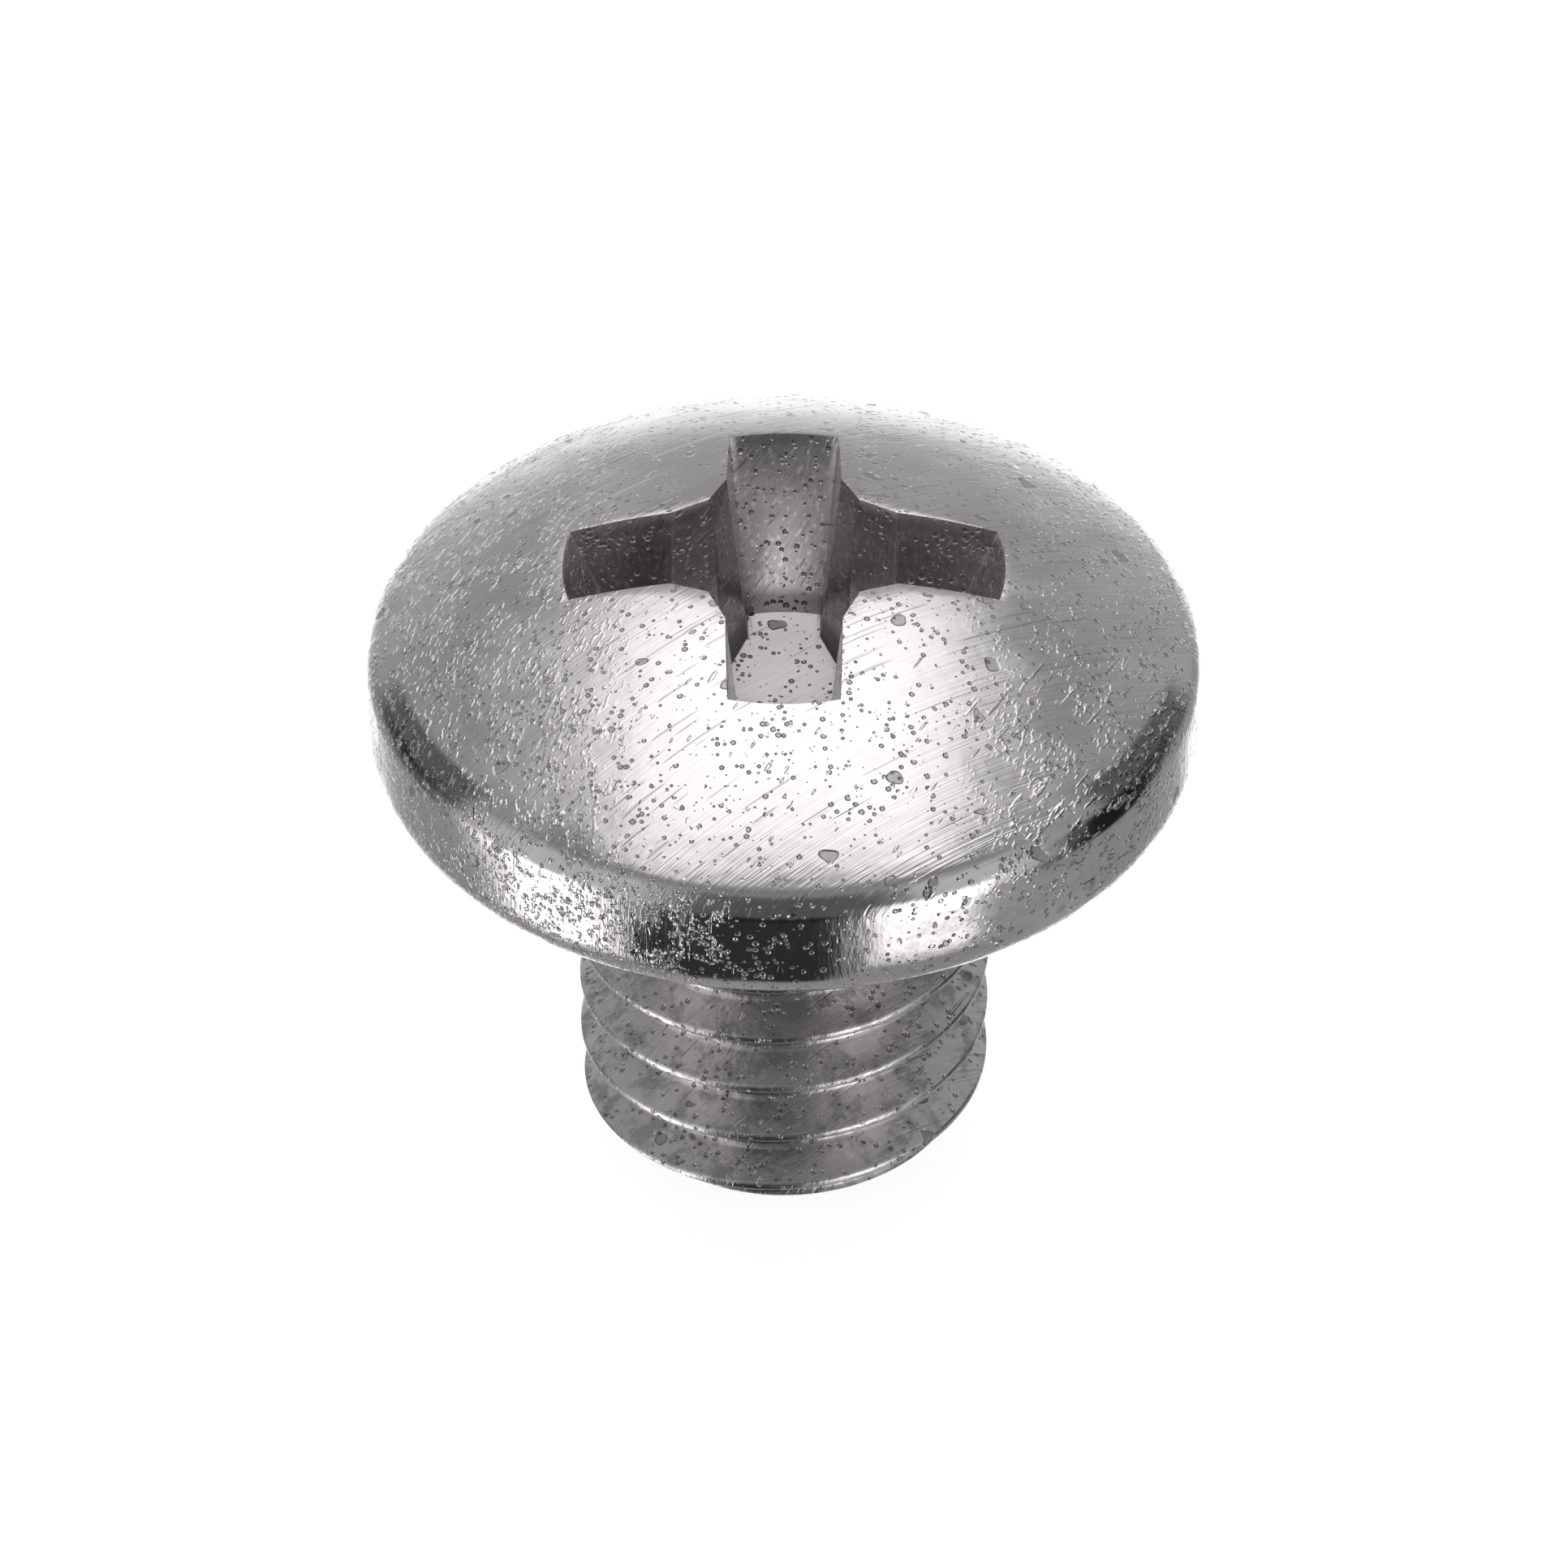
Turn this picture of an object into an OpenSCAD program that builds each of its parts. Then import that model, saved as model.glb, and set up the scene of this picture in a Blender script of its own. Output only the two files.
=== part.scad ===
// Machine screw with a low domed head, a cross recess and a metric thread.
// It is cold headed and thread rolled from one piece of steel wire.
// The origin is the centre of the flat end of the shank, and +Z runs up the axis to the head.

/* [Thread] */
// Outside diameter of the thread
thread_d = 8; // [7:0.1:9]
// Rise of the thread in one turn
thread_pitch = 1.25; // [1:0.05:1.5]
// Length under the head, from its bearing face to the end of the shank
shank_len = 8.8; // [7:0.1:16]
// Diameter of the flat end that the end chamfer leaves
tip_d = 6.4; // [5.5:0.1:6.8]
// Plain neck between the head and the first full crest
neck_len = 1.3; // [1:0.1:2]
// Turns over which the groove fades out towards the neck
runout_turns = 0.5; // [0.25:0.25:1]
// Blend between the neck and the bearing face, which ends outside the thread so that a plate seats
neck_fillet_r = 0.45; // [0.45:0.05:0.7]

/* [Head] */
// Diameter of the head
head_d = 15.85; // [14.5:0.05:18]
// Height of the head, from the bearing face to the top of the dome
head_h = 4.9; // [4.7:0.05:5.6]
// Radius of the dome
dome_r = 14.1; // [13:0.1:18]
// Rounding between the dome and the side of the head
crown_edge_r = 0.75; // [0.4:0.05:1]
// Rounding between the side of the head and the bearing face
lower_edge_r = 0.9; // [0.4:0.05:1]

/* [Cross recess] */
// Diameter over the ends of the wings, where they meet the dome
recess_d = 8.36; // [7.8:0.02:9]
// Depth from the top of the dome to the lowest point of the floor
recess_depth = 4.45; // [3.8:0.05:4.8]
// Width of a wing at the mouth
wing_w = 2.1; // [1.8:0.05:2.4]
// Lean of a wing's side walls, in degrees from the axis
wing_taper = 6; // [4:0.5:8]
// Lean of a wing's round end wall, in degrees from the axis
end_taper = 23.5; // [20:0.5:27]
// Distance across the recess between opposite ridges, at the mouth
ridge_d = 3.92; // [3.7:0.02:4.3]
// Lean of the ridges, in degrees from the axis
ridge_taper = 6; // [4:0.5:8]
// Angle of metal between the two faces of a ridge
ridge_angle = 138; // [130:1:145]
// Slope of the conical floor, in degrees from level
floor_slope = 11.5; // [8:0.5:16]

/* [Smoothness] */
// Flat pieces in one turn of the thread
thread_steps = 48; // [24:4:60]

/* [Hidden] */
$fn = 120;

thread_r = thread_d / 2;
tip_r = tip_d / 2;
head_r = head_d / 2;
bearing_z = shank_len;

// Basic profile of a metric thread, a 60 degree V with its root and crest cut flat
flank_angle = 30;
triangle_h = thread_pitch / (2 * tan(flank_angle));
root_r = thread_r - 5 / 8 * triangle_h;
pitch_r = thread_r - 3 / 8 * triangle_h;
root_half = thread_pitch / 8;

// Height of the groove's centre on the +X side
groove_z = thread_pitch / 2;
// Turns of groove below the end of the shank, where the first one lies wholly clear of it
lead_in_turns = 2;
// Turns from the end of the groove's run-out to the shoulder
stop_turns = 0.25;

// The neck has the pitch diameter, which is that of the wire before the thread is rolled
neck_r = pitch_r;
shoulder_z = bearing_z - neck_len;

// Dome and top rounding touch along the line from the dome's centre through the rounding's centre
dome_z = head_h - dome_r;
crown_x = head_r - crown_edge_r;
crown_z = dome_z + sqrt(pow(dome_r - crown_edge_r, 2) - pow(crown_x, 2));
touch_angle = atan2(crown_z - dome_z, crown_x);

// Level at which the ends of the wings meet the dome
mouth_z = bearing_z + dome_z + sqrt(pow(dome_r, 2) - pow(recess_d / 2, 2));
floor_z = bearing_z + head_h - recess_depth;

// How far a cutting solid reaches past the metal that it cuts
clearance = 0.05;
reach = 2 * head_d;

steel = [0.62, 0.61, 0.6];

// Half of the head's outline, with its bearing face on the X axis
module head_profile() {
    // Under the dome, as far out as the top rounding
    intersection() {
        translate([0, dome_z]) circle(r = dome_r);
        translate([0, dome_z]) polygon([
            [0, 0],
            [2 * dome_r * cos(touch_angle), 2 * dome_r * sin(touch_angle)],
            [0, 2 * dome_r]
        ]);
        square([head_r, head_h]);
    }
    // Top rounding
    translate([crown_x, crown_z]) circle(r = crown_edge_r);
    // Side wall
    translate([0, lower_edge_r]) square([head_r, crown_z - lower_edge_r]);
    // Lower rounding and bearing face
    translate([head_r - lower_edge_r, lower_edge_r]) circle(r = lower_edge_r);
    square([head_r - lower_edge_r, crown_z]);
}

// Half of the shank's outline: chamfered end, full diameter, shoulder and neck
module shank_profile() {
    polygon([
        [0, 0],
        [tip_r, 0],
        [thread_r, thread_r - tip_r],
        [thread_r, shoulder_z],
        [neck_r, shoulder_z + thread_r - neck_r],
        [neck_r, bearing_z + lower_edge_r],
        [0, bearing_z + lower_edge_r]
    ]);
    // Blend under the head
    difference() {
        translate([0, bearing_z - neck_fillet_r])
            square([neck_r + neck_fillet_r, 2 * neck_fillet_r]);
        translate([neck_r + neck_fillet_r, bearing_z - neck_fillet_r])
            circle(r = neck_fillet_r);
    }
}

// The headed blank, before the recess is punched and the thread is rolled
module blank() {
    rotate_extrude() {
        shank_profile();
        translate([0, bearing_z]) head_profile();
    }
}

// Space between two planes that lean outwards, half_gap from the axis at the mouth
module between_planes(half_gap, lean) {
    intersection_for (side = [0, 180])
        rotate(side)
            translate([half_gap, 0, mouth_z])
                rotate([0, lean, 0])
                    translate([-reach, -reach / 2, -reach / 2])
                        cube(reach);
}

// Widening of one pair of wings towards the axis, which forms one face of each ridge
module ridge_faces() {
    face_turn = ridge_angle / 2 - 45;
    to_face = cos(45 - face_turn);
    face_lean = atan(tan(ridge_taper) * to_face);
    intersection_for (turn = [face_turn, -face_turn])
        rotate(turn) between_planes(ridge_d / 2 * to_face, face_lean);
}

// Round ends of all the wings: a cone that narrows downwards
module wing_ends() {
    top_z = bearing_z + head_h + clearance;
    translate([0, 0, floor_z])
        cylinder(
            h = top_z - floor_z,
            r1 = recess_d / 2 - (mouth_z - floor_z) * tan(end_taper),
            r2 = recess_d / 2 + (top_z - mouth_z) * tan(end_taper)
        );
}

// Everything above the shallow conical floor
module above_floor() {
    translate([0, 0, floor_z])
        cylinder(h = reach * tan(floor_slope), r1 = 0, r2 = reach);
}

// The cross recess, as the punch that makes it
module cross_recess() {
    intersection() {
        wing_ends();
        above_floor();
        union() {
            for (turn = [0, 90]) rotate(turn) {
                between_planes(wing_w / 2, wing_taper);
                ridge_faces();
            }
        }
    }
}

// One section across the thread groove, at an angle round the axis, its centre at height z.
// fade goes from 0, the full depth, to 1, just clear of the metal.
function groove_section(angle, z, fade) =
    let (
        outer = thread_r + clearance,
        faded_root_r = thread_r + clearance / 2,
        faded_root_half = root_half / 2,
        root = root_r + fade * (faded_root_r - root_r),
        half = root_half + fade * (faded_root_half - root_half),
        outer_half = half + (outer - root) * tan(flank_angle)
    )
    [
        for (corner = [
            [root, -half],
            [root, half],
            [outer, outer_half],
            [outer, -outer_half]
        ])
        [corner[0] * cos(angle), corner[0] * sin(angle), z + corner[1]]
    ];

// Right-hand groove, half a pitch above a crest that leaves the end of the shank on the +X side
module thread_groove() {
    first = floor(-lead_in_turns * thread_steps);
    last = floor((shoulder_z / thread_pitch - stop_turns) * thread_steps);
    fade_from = last - runout_turns * thread_steps;
    points = [
        for (i = [first : last])
            let (
                turns = i / thread_steps,
                fade = max(0, (i - fade_from) / (last - fade_from))
            )
            each groove_section(turns * 360, turns * thread_pitch + groove_z, fade)
    ];
    corners = len(groove_section(0, 0, 0));
    steps = last - first;
    walls = [
        for (i = [0 : steps - 1], j = [0 : corners - 1])
            let (
                a = corners * i + j,
                b = corners * i + (j + 1) % corners
            )
            each [[a, b + corners, b], [a, a + corners, b + corners]]
    ];
    ends = [
        [0, 1, 2],
        [0, 2, 3],
        [for (j = [2, 1, 0]) corners * steps + j],
        [for (j = [3, 2, 0]) corners * steps + j]
    ];
    polyhedron(points = points, faces = concat(walls, ends), convexity = 10);
}

module screw() {
    color(steel)
        difference() {
            blank();
            cross_recess();
            thread_groove();
        }
}

screw();
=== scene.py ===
import math

import bmesh
import bpy
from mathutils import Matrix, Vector


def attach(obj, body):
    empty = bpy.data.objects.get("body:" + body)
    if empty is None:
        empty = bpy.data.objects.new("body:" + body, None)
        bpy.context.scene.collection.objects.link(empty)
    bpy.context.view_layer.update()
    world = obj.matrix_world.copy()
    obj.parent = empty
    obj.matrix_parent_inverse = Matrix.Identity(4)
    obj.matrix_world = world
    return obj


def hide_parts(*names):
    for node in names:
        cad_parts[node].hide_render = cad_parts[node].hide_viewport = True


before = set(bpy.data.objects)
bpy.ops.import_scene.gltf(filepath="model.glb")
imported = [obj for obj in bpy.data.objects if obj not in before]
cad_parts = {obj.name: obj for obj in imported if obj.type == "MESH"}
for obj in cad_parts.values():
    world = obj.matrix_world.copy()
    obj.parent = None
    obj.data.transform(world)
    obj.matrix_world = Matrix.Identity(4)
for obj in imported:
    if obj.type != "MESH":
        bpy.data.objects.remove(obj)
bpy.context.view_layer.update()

# The headed blank of the screw: one piece of steel wire, upset cold into a low domed head.
# Its outline is extruded ring by ring from the rim of the dome down to the flat end.
mm = 0.001
ring_points = 192
thread_r = 4.0
neck_r = 3.594
neck_len = 1.3
neck_fillet_r = 0.45
tip_r = 3.2
bearing_z = 8.8
head_r = 7.925
head_h = 4.9
dome_r = 14.1
crown_edge_r = 0.75
lower_edge_r = 0.9
dome_centre_z = bearing_z + head_h - dome_r
crown_centre_r = head_r - crown_edge_r
crown_centre_z = dome_centre_z + math.sqrt((dome_r - crown_edge_r) ** 2 - crown_centre_r**2)
touch_angle = math.atan2(crown_centre_z - dome_centre_z, crown_centre_r)
touch_r = dome_r * math.cos(touch_angle)


def dome_height(radius):
    """Height of the dome at that distance from the axis."""
    return dome_centre_z + math.sqrt(dome_r**2 - radius**2)


def arc(centre_r, centre_z, radius, start, end, steps):
    """Stations (radius, height) along an arc, without its first point; angles in degrees."""
    angles = [math.radians(start + (end - start) * i / steps) for i in range(1, steps + 1)]
    return [(centre_r + radius * math.cos(a), centre_z + radius * math.sin(a)) for a in angles]


shoulder_z = bearing_z - neck_len
chamfer_z = thread_r - tip_r
thread_rows = 12
edge_steps = 8
fillet_steps = 6
outline = arc(crown_centre_r, crown_centre_z, crown_edge_r, math.degrees(touch_angle), 0, edge_steps)
outline += [(head_r, bearing_z + lower_edge_r + (crown_centre_z - bearing_z - lower_edge_r) * f)
            for f in (0.75, 0.5, 0.25, 0)]
outline += arc(head_r - lower_edge_r, bearing_z + lower_edge_r, lower_edge_r, 0, -90, edge_steps)
bearing_rows = 5
bearing_in_r = neck_r + neck_fillet_r
bearing_out_r = head_r - lower_edge_r
outline += [(bearing_out_r + (bearing_in_r - bearing_out_r) * i / bearing_rows, bearing_z)
            for i in range(1, bearing_rows + 1)]
outline += arc(bearing_in_r, bearing_z - neck_fillet_r, neck_fillet_r, 90, 180, fillet_steps)
outline += [(neck_r, shoulder_z + thread_r - neck_r), (thread_r, shoulder_z)]
outline += [(thread_r, chamfer_z + (shoulder_z - chamfer_z) * (1 - i / thread_rows))
            for i in range(1, thread_rows + 1)]
outline += [(tip_r, 0), (tip_r * 0.66, 0), (tip_r * 0.33, 0)]

bpy.ops.object.select_all(action="DESELECT")
bpy.ops.mesh.primitive_circle_add(vertices=ring_points, radius=touch_r * mm,
                                  location=(0, 0, dome_height(touch_r) * mm))
screw = bpy.context.object
screw.name = "worn_steel_screw"
bpy.ops.object.transform_apply(location=True, rotation=True, scale=True)
bpy.ops.object.mode_set(mode="EDIT")
bpy.ops.mesh.select_all(action="SELECT")
last_r, last_z = touch_r, dome_height(touch_r)
for radius, height in outline:
    bpy.ops.mesh.extrude_edges_move(TRANSFORM_OT_translate={"value": (0, 0, (height - last_z) * mm)})
    bpy.ops.transform.resize(value=(radius / last_r, radius / last_r, 1),
                             center_override=(0, 0, height * mm))
    last_r, last_z = radius, height
bpy.ops.mesh.edge_face_add()

# The cross recess, punched into the dome in the same blow: four wings with round outer ends that
# lean inwards, a blunt ridge between each two, and a shallow conical floor.
recess_r = 4.18
recess_depth = 4.45
wing_half = 1.05
wing_taper = math.tan(math.radians(6))
end_taper = math.tan(math.radians(23.5))
ridge_r = 1.96
ridge_taper = math.tan(math.radians(6))
ridge_turn = math.radians(24)
floor_slope = math.tan(math.radians(11.5))
rim_bevel = 0.045
sharp_above = math.radians(20)
mouth_z = dome_height(recess_r)
floor_z = bearing_z + head_h - recess_depth
octant_points = ring_points // 8
settle_rounds = 12
end_steps = 7
side_steps = 11
face_steps = octant_points - end_steps - side_steps


def between(a, b, share):
    """The point at that share of the way from a to b."""
    return [p + (q - p) * share for p, q in zip(a, b)]


def recess_wall(index, height):
    """Place in plan of one point of the recess wall, at that height."""
    quarter, step = divmod(index, 2 * octant_points)
    mirrored = step > octant_points
    step = 2 * octant_points - step if mirrored else step
    below = mouth_z - height
    half = wing_half - below * wing_taper
    end_r = recess_r - below * end_taper
    ridge = (ridge_r - below * ridge_taper) / math.sqrt(2)
    face = ridge * (math.cos(ridge_turn) + math.sin(ridge_turn))
    corner_angle = math.asin(half / end_r)
    end_corner = (half, end_r * math.cos(corner_angle))
    side_corner = (half, (face - half * math.cos(ridge_turn)) / math.sin(ridge_turn))
    if step <= end_steps:
        angle = corner_angle * step / end_steps
        x, y = end_r * math.sin(angle), end_r * math.cos(angle)
    elif step <= end_steps + side_steps:
        x, y = between(end_corner, side_corner, (step - end_steps) / side_steps)
    else:
        x, y = between(side_corner, (ridge, ridge), (step - end_steps - side_steps) / face_steps)
    if mirrored:
        x, y = y, x
    for _ in range(quarter):
        x, y = y, -x
    return x, y


def floor_height(radius):
    """Height of the conical floor of the recess at that distance from the axis."""
    return floor_z + radius * floor_slope


def where_wall_meets(surface):
    """The ring of points (x, y, z) where the recess wall meets a surface of revolution."""
    ring = []
    for index in range(ring_points):
        height = surface(recess_r)
        for _ in range(settle_rounds):
            x, y = recess_wall(index, height)
            height = surface(math.hypot(x, y))
        ring.append((x, y, height))
    return ring


def circle(radius, height):
    """The points of a level circle, in the order of those of the recess wall."""
    angles = [2 * math.pi * i / ring_points for i in range(ring_points)]
    return [(radius * math.sin(a), radius * math.cos(a), height) for a in angles]


def extrude_to(ring):
    """Extrudes the selected loop and puts its points, in order round the axis, at those of the ring."""
    bpy.ops.mesh.extrude_edges_move()
    mesh = bmesh.from_edit_mesh(screw.data)
    loop = sorted((v for v in mesh.verts if v.select),
                  key=lambda v: (math.atan2(v.co.x, v.co.y) + 0.001) % (2 * math.pi))
    for vertex, place in zip(loop, ring, strict=True):
        vertex.co = Vector(place) * mm
    bmesh.update_edit_mesh(screw.data)


rim = where_wall_meets(dome_height)
foot = where_wall_meets(floor_height)
dome_steps = 8
patch_r = 5.1
patch_shares = (0.68, 0.4, 0.16, 0)
wall_rows = 16
floor_shares = (0.8, 0.6, 0.4, 0.2)

bpy.ops.mesh.select_all(action="DESELECT")
mesh = bmesh.from_edit_mesh(screw.data)
for vertex in mesh.verts:
    vertex.select = abs(vertex.co.z - dome_height(touch_r) * mm) < 1e-7
mesh.select_flush(True)
for step in range(1, dome_steps + 1):
    radius = touch_r + (patch_r - touch_r) * step / dome_steps
    extrude_to(circle(radius, dome_height(radius)))
for share in patch_shares:
    ring = [between(a, b, share) for a, b in zip(rim, circle(patch_r, 0))]
    extrude_to([(x, y, dome_height(math.hypot(x, y))) for x, y, z in ring])
for row in range(1, wall_rows + 1):
    heights = [a[2] + (b[2] - a[2]) * row / wall_rows for a, b in zip(rim, foot)]
    extrude_to([(*recess_wall(i, z), z) for i, z in enumerate(heights)])
for share in floor_shares:
    extrude_to([(x * share, y * share, floor_height(math.hypot(x, y) * share)) for x, y, z in foot])
bpy.ops.mesh.extrude_edges_move()
bpy.ops.mesh.merge(type="CENTER")

bpy.ops.mesh.select_all(action="SELECT")
bpy.ops.mesh.normals_make_consistent(inside=False)
bpy.ops.mesh.select_all(action="DESELECT")
bpy.ops.mesh.select_mode(type="EDGE")
bpy.ops.mesh.edges_select_sharp(sharpness=sharp_above)
bpy.ops.mesh.bevel(offset=rim_bevel * mm, segments=2, clamp_overlap=True)
bpy.ops.mesh.select_mode(type="VERT")
bpy.ops.mesh.select_all(action="DESELECT")
bpy.ops.object.mode_set(mode="OBJECT")

# The thread, rolled between flat dies: a right-hand 60 degree V with rounded crests and roots,
# which fades out over half a turn before the plain neck.
pitch = 1.25
flank = math.tan(math.radians(30))
triangle_h = pitch / (2 * flank)
root_r = thread_r - 5 / 8 * triangle_h
root_half = pitch / 8
clear = 0.05
lead_in_turns = 2
runout_turns = 0.5
stop_turns = 0.25
last_turn = shoulder_z / pitch - stop_turns
turns = last_turn + lead_in_turns
turn_steps = 144
outer = thread_r + clear
groove_z = pitch / 2 - lead_in_turns * pitch
crest_edge_r = 0.08
root_bevel = 0.09
crest_half = root_half + (thread_r - root_r) * flank + crest_edge_r * math.tan(math.radians(30))

# Half of the groove's section as (radius, half width): the root, round the edge of the crest, and
# out of the metal at a shallow angle.
half_section = [(root_r, root_half)]
half_section += [(thread_r - crest_edge_r * (1 - math.cos(a)), crest_half - crest_edge_r * math.sin(a))
                 for a in map(math.radians, (60, 40, 20))]
half_section += [(thread_r + 0.003, crest_half + 0.016), (outer, crest_half + 0.018)]
section = [(r, -h) for r, h in half_section] + [(r, h) for r, h in reversed(half_section)]

bpy.ops.mesh.primitive_plane_add(size=pitch * mm)
groove = bpy.context.object
bpy.ops.object.mode_set(mode="EDIT")
mesh = bmesh.from_edit_mesh(groove.data)
mesh.clear()
mesh.faces.new([mesh.verts.new((r * mm, 0, (groove_z + h) * mm)) for r, h in section])
for vertex in mesh.verts:
    vertex.select = vertex.co.x < (root_r + clear) * mm
mesh.select_flush(True)
bmesh.update_edit_mesh(groove.data)
bpy.ops.mesh.bevel(offset=root_bevel * mm, segments=3, affect="VERTICES")
bpy.ops.mesh.select_all(action="SELECT")
bpy.ops.object.mode_set(mode="OBJECT")
sweep = groove.modifiers.new("sweep", "SCREW")
sweep.angle = turns * 2 * math.pi
sweep.screw_offset = turns * pitch * mm
sweep.steps = sweep.render_steps = round(turns * turn_steps)
sweep.use_merge_vertices = False
bpy.ops.object.modifier_apply(modifier="sweep")
for vertex in groove.data.vertices:
    x, y, height = (c / mm for c in vertex.co)
    radius = math.hypot(x, y)
    part_turn = math.atan2(y, x) / (2 * math.pi)
    turn_here = part_turn + round(height / pitch - 0.5 - part_turn)
    faded = max(0, (turn_here - last_turn + runout_turns) / runout_turns)
    pushed = 1 + faded * (thread_r + clear / 2 - root_r) * (outer - radius) / (outer - root_r) / radius
    vertex.co.x *= pushed
    vertex.co.y *= pushed
bpy.ops.object.mode_set(mode="EDIT")
bpy.ops.mesh.select_all(action="DESELECT")
bpy.ops.mesh.select_non_manifold()
bpy.ops.mesh.edge_face_add()
bpy.ops.mesh.select_all(action="SELECT")
bpy.ops.mesh.normals_make_consistent(inside=False)
bpy.ops.object.mode_set(mode="OBJECT")

cut = screw.modifiers.new("thread", "BOOLEAN")
cut.operation = "DIFFERENCE"
cut.solver = "EXACT"
cut.object = groove
bpy.context.view_layer.objects.active = screw
bpy.ops.object.modifier_apply(modifier="thread")
bpy.data.objects.remove(groove)
bpy.ops.object.select_all(action="DESELECT")
screw.select_set(True)
smooth_below = math.radians(35)
bpy.ops.object.shade_smooth_by_angle(angle=smooth_below)
flatten = screw.modifiers.new("flatten", "WEIGHTED_NORMAL")
flatten.keep_sharp = True
bpy.ops.object.modifier_apply(modifier="flatten")

# Its surface is bare steel: brushed on the slant, scratched and pitted by rust that has been
# cleaned off, and rough with grains along the edge of the head. Heights are in millimetres.
steel = bpy.data.materials.new("worn_steel")
steel.use_nodes = True
nodes, links = steel.node_tree.nodes, steel.node_tree.links
shader = nodes["Principled BSDF"]


def put(value, socket):
    """Links a socket, or sets a plain value, on an input."""
    if isinstance(value, bpy.types.NodeSocket):
        links.new(value, socket)
    else:
        socket.default_value = value


def math_node(operation, *values):
    """Works out one sum in the node tree."""
    node = nodes.new("ShaderNodeMath")
    node.operation = operation
    for value, socket in zip(values, node.inputs):
        put(value, socket)
    return node.outputs[0]


def fade(value, start, end, low=0.0, high=1.0):
    """Goes smoothly from low to high as the value goes from start to end."""
    node = nodes.new("ShaderNodeMapRange")
    node.interpolation_type = "SMOOTHSTEP"
    for name, number in (("Value", value), ("From Min", start), ("From Max", end),
                         ("To Min", low), ("To Max", high)):
        put(number, node.inputs[name])
    return node.outputs[0]


def mapped(turn=0, scale=(1, 1, 1)):
    """Object coordinates in millimetres, turned about the axis and then scaled."""
    node = nodes.new("ShaderNodeMapping")
    node.inputs["Rotation"].default_value = (0, 0, math.radians(turn))
    node.inputs["Scale"].default_value = (1 / mm, 1 / mm, 1 / mm)
    links.new(coordinates, node.inputs["Vector"])
    stretch = nodes.new("ShaderNodeVectorMath")
    stretch.operation = "MULTIPLY"
    links.new(node.outputs[0], stretch.inputs[0])
    stretch.inputs[1].default_value = scale
    return stretch.outputs[0]


def noise(vector, scale, detail, roughness=0.5):
    """Soft random patches between 0 and 1, with a mean of 0.5."""
    node = nodes.new("ShaderNodeTexNoise")
    for name, value in (("Vector", vector), ("Scale", scale), ("Detail", detail),
                        ("Roughness", roughness)):
        put(value, node.inputs[name])
    return node.outputs["Fac"]


def pits(vector, scale, share, small, large, edge):
    """Round pits, 1 inside and 0 outside, in that share of the cells; most are of the small radius."""
    node = nodes.new("ShaderNodeTexVoronoi")
    put(vector, node.inputs["Vector"])
    node.inputs["Scale"].default_value = scale
    parts = nodes.new("ShaderNodeSeparateColor")
    links.new(node.outputs["Color"], parts.inputs[0])
    here = math_node("LESS_THAN", parts.outputs["Red"], share)
    size = fade(parts.outputs["Green"], 0.45, 1.1, small * scale, large * scale)
    inside = fade(math_node("DIVIDE", node.outputs["Distance"], size), 1 + edge, 1 - edge)
    return math_node("MULTIPLY", inside, here)


# Where on the screw: to the side, in depth, up, and out from the axis.
coordinates = nodes.new("ShaderNodeTexCoord").outputs["Object"]
place = mapped()
across = nodes.new("ShaderNodeSeparateXYZ")
links.new(place, across.inputs[0])
side, depth, height = across.outputs
from_axis = math_node("SQRT", math_node("ADD", math_node("MULTIPLY", side, side),
                                        math_node("MULTIPLY", depth, depth)))

# Brush marks on the slant, a few of them deep, and wide soft patches.
brush_turn = -33
hairlines = noise(mapped(brush_turn, (0.25, 22, 2.5)), 1, 2, 0.7)
deep_lines = fade(noise(mapped(brush_turn, (0.2, 14, 2)), 1, 1), 0.66, 0.74)
cloud = noise(place, 0.45, 2)
patches = noise(place, 1.3, 2)

# The recess and its floor, the shank, and the polished rounding at the edge of the dome.
dome_level = math_node("ADD", math_node("SQRT", math_node(
    "SUBTRACT", dome_r**2, math_node("MULTIPLY", from_axis, from_axis))), dome_centre_z)
in_recess = math_node("MULTIPLY", fade(math_node("SUBTRACT", dome_level, height), 0.05, 0.5),
                      math_node("MULTIPLY", fade(from_axis, 4.4, 4.3), fade(height, 9, 9.1)))
on_floor = math_node("MULTIPLY", in_recess, fade(height, 10.4, 10))
below_head = fade(height, bearing_z, bearing_z - 0.2)
polish = fade(from_axis, 7.1, 7.35)

# Rough areas with raised grains: left and right on the dome, left on the side of the head, and two
# narrow bands at the edge of the dome, which have raised grains and whose colour is painted dark as a
# painted reflection. The walls of the recess have pale flecks.
left_zone = fade(side, -2.6, -4.4)
right_zone = fade(side, 3, 5.4, 0, 0.75)
side_zone = math_node("MULTIPLY", fade(from_axis, 7.7, 7.85), fade(patches, 0.44, 0.54))
side_zone = math_node("MULTIPLY", side_zone, fade(side, -0.7, -1.4))
dome_zone = math_node("MAXIMUM", left_zone, right_zone)
dome_zone = math_node("MULTIPLY", dome_zone, fade(patches, 0.38, 0.57))
rough_zone = math_node("MAXIMUM", dome_zone, side_zone)
edge_ring = math_node("MULTIPLY", fade(from_axis, 7.28, 7.5), fade(from_axis, 7.9, 7.8))
edge_front = math_node("MULTIPLY", fade(depth, -0.9, -2.6), fade(depth, -5.4, -4.6))
# Painted reflection: the two bands at the edge of the dome carry raised grains, and their colour is
# also painted dark.
grains_and_painted_dark_band = math_node("MULTIPLY", edge_ring, edge_front)
grains = noise(mapped(-65, (4.6, 10.5, 8)), 1, 1)
speckle = fade(grains, 0.53, 0.68)
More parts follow.
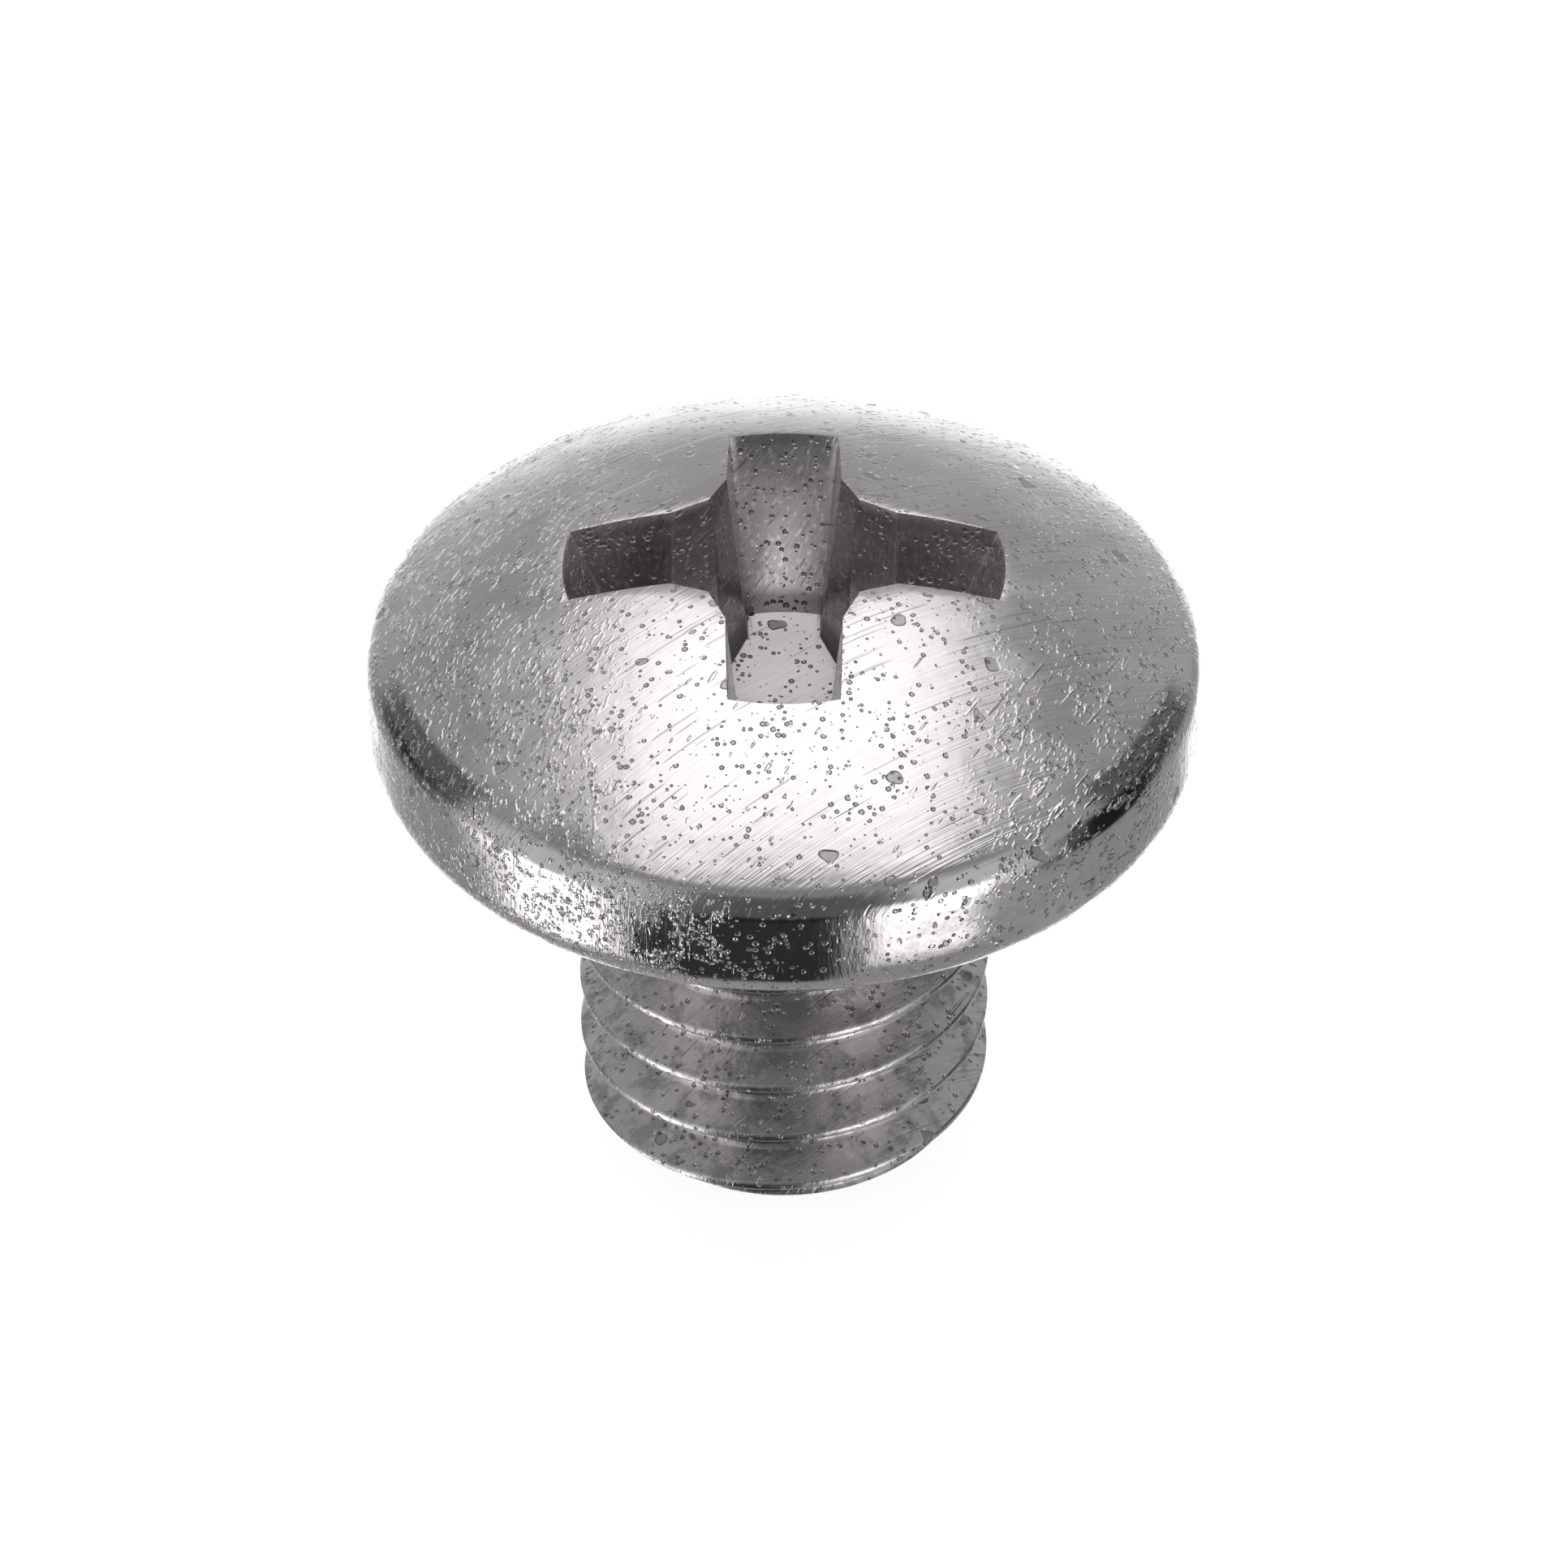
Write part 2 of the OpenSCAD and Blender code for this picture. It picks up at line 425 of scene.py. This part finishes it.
# The painted dark of those bands is lighter on the grain tops.
grain_tops = math_node("MULTIPLY", speckle, grains_and_painted_dark_band)
on_walls = math_node("SUBTRACT", in_recess, on_floor)
flecks = math_node("MULTIPLY", fade(grains, 0.58, 0.66), on_walls)

# Small round pits, which crowd in places, wide shallow scabs with a dark rim, short scratches that
# are most in the rough areas, and grime on the shank.
crowding = noise(place, 0.9, 1)
round_pits = pits(place, 8.5, fade(crowding, 0.35, 0.65, 0.35, 1), 0.013, 0.056, 0.3)
warped = nodes.new("ShaderNodeVectorMath")
warped.operation = "MULTIPLY_ADD"
wobble = nodes.new("ShaderNodeTexNoise")
links.new(place, wobble.inputs["Vector"])
wobble.inputs["Scale"].default_value = 3
wobble.inputs["Detail"].default_value = 0
links.new(wobble.outputs["Color"], warped.inputs[0])
warped.inputs[1].default_value = (0.25, 0.25, 0.25)
links.new(place, warped.inputs[2])
scabs = pits(warped.outputs[0], 1.15, 0.66, 0.08, 0.18, 0.12)
scab_rims = math_node("MULTIPLY", scabs, math_node("SUBTRACT", 1.0, scabs))
scratch_share = fade(rough_zone, 0, 1, 0.04, 0.3)
scratches = pits(mapped(-60, (0.8, 13, 11)), 1, scratch_share, 0.25, 0.5, 0.4)
grime = math_node("MULTIPLY", fade(noise(place, 1.8, 3, 0.65), 0.43, 0.68), below_head)

# The height of each pattern.
relief = 0.0
for pattern, raised in ((hairlines, 0.0045), (deep_lines, -0.004), (round_pits, -0.027),
                        (scabs, -0.02), (scratches, 0.013),
                        (math_node("MULTIPLY", speckle, rough_zone), 0.02),
                        (grain_tops, 0.04), (patches, 0.012), (grime, -0.006)):
    relief = math_node("MULTIPLY_ADD", pattern, raised, relief)
bump = nodes.new("ShaderNodeBump")
bump.inputs["Distance"].default_value = mm
links.new(relief, bump.inputs["Height"])
links.new(bump.outputs[0], shader.inputs["Normal"])

# The share of the steel's colour that is kept where each pattern is full.
shade = math_node("MULTIPLY", fade(cloud, 0.3, 0.7, 0.9, 1.06),
                  fade(hairlines, 0.35, 0.65, 0.94, 1.04))
# Painted light: the shank is painted a little lighter than the head.
# Painted light: the whole recess, walls and floor, is painted lighter.
# Painted reflection: the two bands at the edge of the dome are painted dark, less so on the grain tops.
# Painted shade: the floor of the recess is painted darker.
for pattern, kept in ((round_pits, 0.6), (scabs, 0.68), (scab_rims, 0.1), (deep_lines, 0.8),
                      (grains_and_painted_dark_band, 0.35), (in_recess, 1.1), (on_floor, 0.58), (below_head, 1.05),
                      (grime, 0.66), (flecks, 1.4), (grain_tops, 2.2)):
    shade = math_node("MULTIPLY", shade, fade(pattern, 0, 1, 1, kept))
tint = nodes.new("ShaderNodeMix")
tint.data_type = "RGBA"
tint.blend_type = "MULTIPLY"
tint.inputs["Factor"].default_value = 1
tint.inputs["A"].default_value = (0.603, 0.586, 0.581, 1)
links.new(shade, tint.inputs["B"])
links.new(tint.outputs["Result"], shader.inputs["Base Color"])

# The roughness that each pattern adds.
dull = fade(cloud, 0.3, 0.7, 0.15, 0.25)
for pattern, added in ((hairlines, 0.08), (rough_zone, 0.08), (round_pits, 0.15), (scabs, 0.2),
                       (on_floor, 0.12), (grime, 0.1), (polish, -0.09), (below_head, 0.06)):
    dull = math_node("MULTIPLY_ADD", pattern, added, dull)
links.new(dull, shader.inputs["Roughness"])
shader.inputs["Metallic"].default_value = 1
screw.data.materials.clear()
screw.data.materials.append(steel)
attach(screw, "root")
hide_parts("screw")

# The camera looks down on the screw from the front, as in the photograph.
camera_data = bpy.data.cameras.new("camera")
camera_data.sensor_width = 36
camera_data.lens = 189.77
camera = bpy.data.objects.new("camera", camera_data)
bpy.context.collection.objects.link(camera)
look_down = 0.6816
look_height = 7.767
look_distance = 159.18
camera.location = (0, -look_distance * math.cos(look_down) * mm,
                   (look_height + look_distance * math.sin(look_down)) * mm)
camera.rotation_euler = (math.pi / 2 - look_down, 0, 0)
bpy.context.scene.camera = camera

# The stage: a pale floor that is white to the camera apart from the screw's shadow.
bpy.ops.mesh.primitive_plane_add(size=4, location=(0, 0, 0))
floor = bpy.context.object
floor.name = "floor"
floor.visible_glossy = False
paper = bpy.data.materials.new("white_paper")
paper.use_nodes = True
nodes, links = paper.node_tree.nodes, paper.node_tree.links
nodes.clear()
paint = nodes.new("ShaderNodeBsdfDiffuse")
paint.inputs["Color"].default_value = (0.5, 0.5, 0.5, 1)
glow = nodes.new("ShaderNodeEmission")
glow.inputs["Color"].default_value = (1, 1, 1, 1)
ray = nodes.new("ShaderNodeLightPath")
glow_strength = 0.84
lift = nodes.new("ShaderNodeMath")
lift.operation = "MULTIPLY"
lift.inputs[1].default_value = glow_strength
links.new(ray.outputs["Is Camera Ray"], lift.inputs[0])
links.new(lift.outputs[0], glow.inputs["Strength"])
both = nodes.new("ShaderNodeAddShader")
links.new(paint.outputs[0], both.inputs[0])
links.new(glow.outputs[0], both.inputs[1])
out = nodes.new("ShaderNodeOutputMaterial")
links.new(both.outputs[0], out.inputs["Surface"])
floor.data.materials.append(paper)

# The studio round the screw: an even grey with bright screens and dark gaps, which its steel
# mirrors. Angles are in degrees, with azimuth 0 in front and growing to the right.
world = bpy.data.worlds.new("studio")
bpy.context.scene.world = world
world.use_nodes = True
nodes, links = world.node_tree.nodes, world.node_tree.links
back = nodes["Background"]
back.inputs["Color"].default_value = (1, 1, 1, 1)
direction = nodes.new("ShaderNodeSeparateXYZ")
links.new(nodes.new("ShaderNodeTexCoord").outputs["Generated"], direction.inputs[0])
to_right, to_back, up = direction.outputs


def degrees(value):
    """The angle, from radians into degrees."""
    return math_node("MULTIPLY", value, 180 / math.pi)


azimuth = degrees(math_node("ARCTAN2", to_right, math_node("MULTIPLY", to_back, -1.0)))
behind = math_node("ABSOLUTE", degrees(math_node("ARCTAN2", to_right, to_back)))
elevation = degrees(math_node("ARCSINE", up))
tilt_right = degrees(math_node("ARCTAN2", to_right, up))
tilt_back = degrees(math_node("ARCTAN2", to_back, up))


def window(value, start, end, soft):
    """1 where the angle lies between start and end, with soft edges."""
    return math_node("MULTIPLY", fade(value, start - soft, start + soft),
                     fade(value, end + soft, end - soft))


screens = (
    # Lamp overhead
    (window(tilt_right, -25, 26, 6), window(tilt_back, -12, 45, 5), 1.5),
    # Pale screen on the left
    (window(azimuth, -85, -30, 8), window(elevation, -20, 42, 8), 0.33),
    # Pale screen on the right
    (window(azimuth, 30, 68, 8), window(elevation, -20, 42, 8), 0.33),
    # Low lamp on the right
    (window(azimuth, 24, 54, 4), window(elevation, -42, -4, 6), 1.85),
    # Low lamp on the left
    (window(azimuth, -84, -48, 4), window(elevation, -50, -12, 6), 2.0),
    # Low screen behind
    (window(behind, -60, 30, 8), window(elevation, -60, -6, 7), 1.15),
    # Pale wall behind
    (window(behind, -60, 60, 10), window(elevation, -6, 26, 6), 0.1),
    # Gap far on the left
    (window(azimuth, -122, -97, 6), window(elevation, -25, 11, 4), -0.31),
    # Gap far on the right
    (window(azimuth, 72, 112, 8), window(elevation, -34, 15, 4), -0.38),
    # Low gap in front
    (window(azimuth, -48, 18, 6), window(elevation, -70, -20, 8), -0.36),
    # Gap in front
    (window(azimuth, -32, 32, 8), window(elevation, -22, 45, 8), -0.27),
    # Thin gap round the lamp overhead
    (window(azimuth, -90, 90, 8), window(elevation, 52, 63, 2), -0.12),
)
studio_level = 0.4
level = studio_level
for wide, tall, radiance in screens:
    level = math_node("MULTIPLY_ADD", math_node("MULTIPLY", wide, tall), radiance, level)
darkest = 0.02
level = math_node("MAXIMUM", level, darkest)
ray = nodes.new("ShaderNodeLightPath")
seen = nodes.new("ShaderNodeMix")
links.new(ray.outputs["Is Camera Ray"], seen.inputs["Factor"])
links.new(level, seen.inputs["A"])
seen.inputs["B"].default_value = 1
links.new(seen.outputs["Result"], back.inputs["Strength"])

bpy.context.scene.view_settings.view_transform = "Standard"
